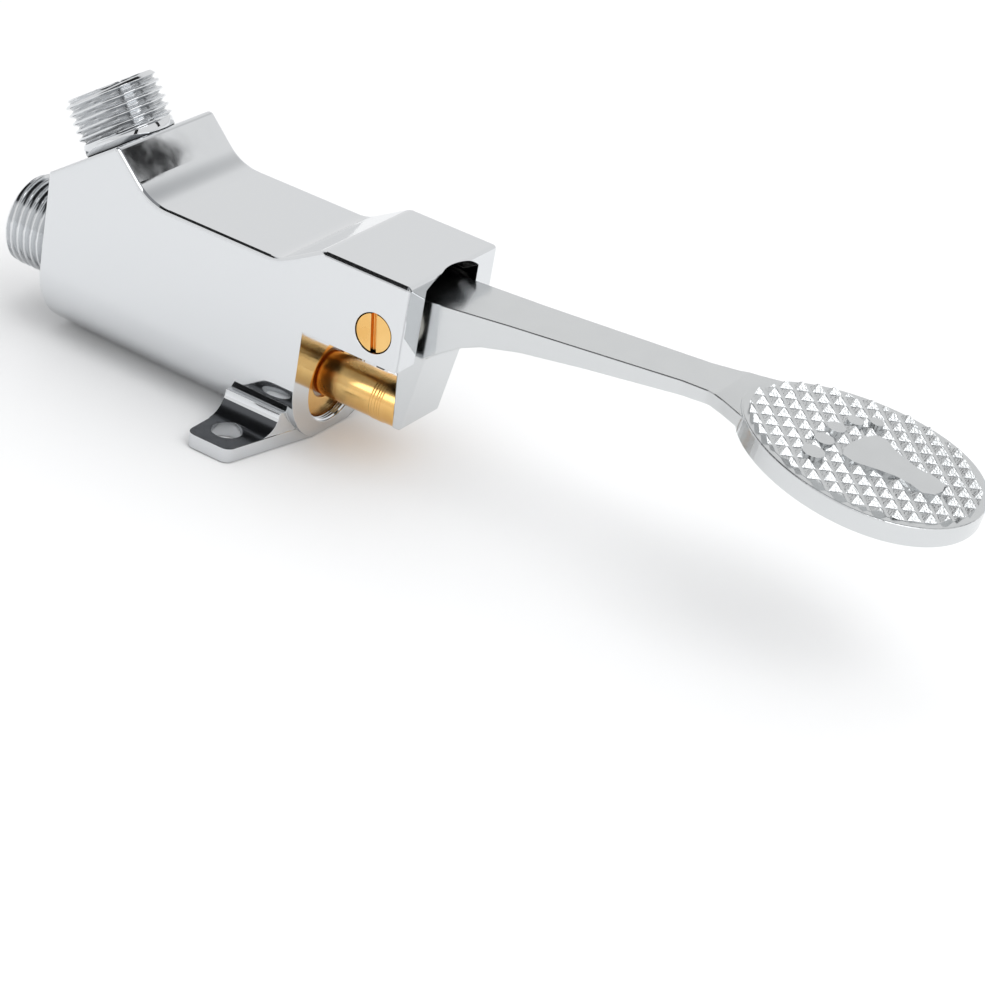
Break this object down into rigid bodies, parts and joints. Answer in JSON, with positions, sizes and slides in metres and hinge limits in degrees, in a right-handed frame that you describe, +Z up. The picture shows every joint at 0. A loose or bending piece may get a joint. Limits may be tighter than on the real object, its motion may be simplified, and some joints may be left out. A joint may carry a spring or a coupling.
{
  "type": "foot pedal tap valve",
  "caption": "Chromed floor valve with threaded inlet and tilted outlet; a tread pedal on a pivot pushes a sprung brass plunger that opens the water way.",
  "frame": {"origin": "on the floor, midway between the two fixing holes", "axes": "+X from the valve toward the pedal's tip, +Z up from the floor"},
  "size_m": [0.2286, 0.0606, 0.0607],
  "materials": {
    "polished_chrome": "polished plate on a casting",
    "satin_chrome": "satin plate on a casting",
    "turned_brass": "bright turned",
    "black_rubber": "moulded",
    "white_ptfe": "machined",
    "spring_steel": "drawn wire"
  },
  "bodies": {
    "valve": {"valve_body": "polished_chrome", "inlet_nipple": "polished_chrome", "inlet_o_ring": "black_rubber", "outlet_nipple": "polished_chrome", "outlet_o_ring": "black_rubber", "seat_bush": "turned_brass", "seat_o_ring": "black_rubber", "bonnet_nut": "turned_brass", "bonnet_gasket": "black_rubber", "stem_seal": "black_rubber", "wiper_ring": "white_ptfe", "pivot_screw": "turned_brass", "thrust_washer_near": "white_ptfe", "thrust_washer_far": "white_ptfe", "return_spring": "spring_steel"},
    "push_rod": {"plunger": "turned_brass", "valve_stem": "turned_brass", "spring_collar": "turned_brass", "disc_washer": "black_rubber", "disc_holder": "turned_brass", "disc_lock_washer": "spring_steel", "disc_nut": "turned_brass"},
    "pedal": {"pivot_bush": "turned_brass", "pedal_lever": "satin_chrome"}
  },
  "joints": [
    {"name": "pedal_hinge", "type": "hinge", "parent": "valve", "child": "pedal", "pos_m": [0.0272, 0, 0.0348], "axis": [0, 1, 0], "range_deg": [0, 13]},
    {"name": "plunger_slide", "type": "slide", "parent": "valve", "child": "push_rod", "axis": [-1, 0, 0], "range_m": [0, 0.005], "stiffness_N_per_m": 1500, "springref_m": -0.012, "deforming": ["return_spring"]}
  ],
  "couplings": [
    {"joint": "plunger_slide", "follows": "pedal_hinge", "m_per_rad": 0.0217}
  ]
}
